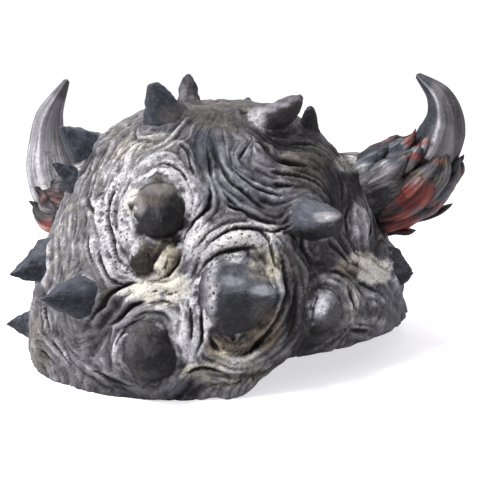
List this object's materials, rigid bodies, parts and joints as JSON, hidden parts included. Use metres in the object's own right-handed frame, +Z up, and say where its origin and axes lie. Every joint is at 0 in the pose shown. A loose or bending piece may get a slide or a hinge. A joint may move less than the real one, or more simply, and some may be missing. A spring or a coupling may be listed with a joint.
{
  "type": "horned demon mask",
  "caption": "Over-the-head cast latex half mask: a wrinkled grey hood set with spikes, with eye holes, an open underside and a curved horn on each temple in a collar of flakes.",
  "frame": {"origin": "middle of the part's footprint, on the level that the cut rim stands on", "axes": "+Z up through the crown, +X to the wearer's left and out along a horn, -Y the way the face looks"},
  "size_m": [0.3289, 0.2855, 0.1826],
  "materials": {
    "skin": "matte latex, dry-brushed silver grey and cream over near-black recesses",
    "horn": "satin latex, striped grey horn over a black collar dabbed with red"
  },
  "bodies": {
    "root": {"mask_skin": "skin", "horn_left": "horn", "horn_right": "horn"}
  },
  "joints": []
}
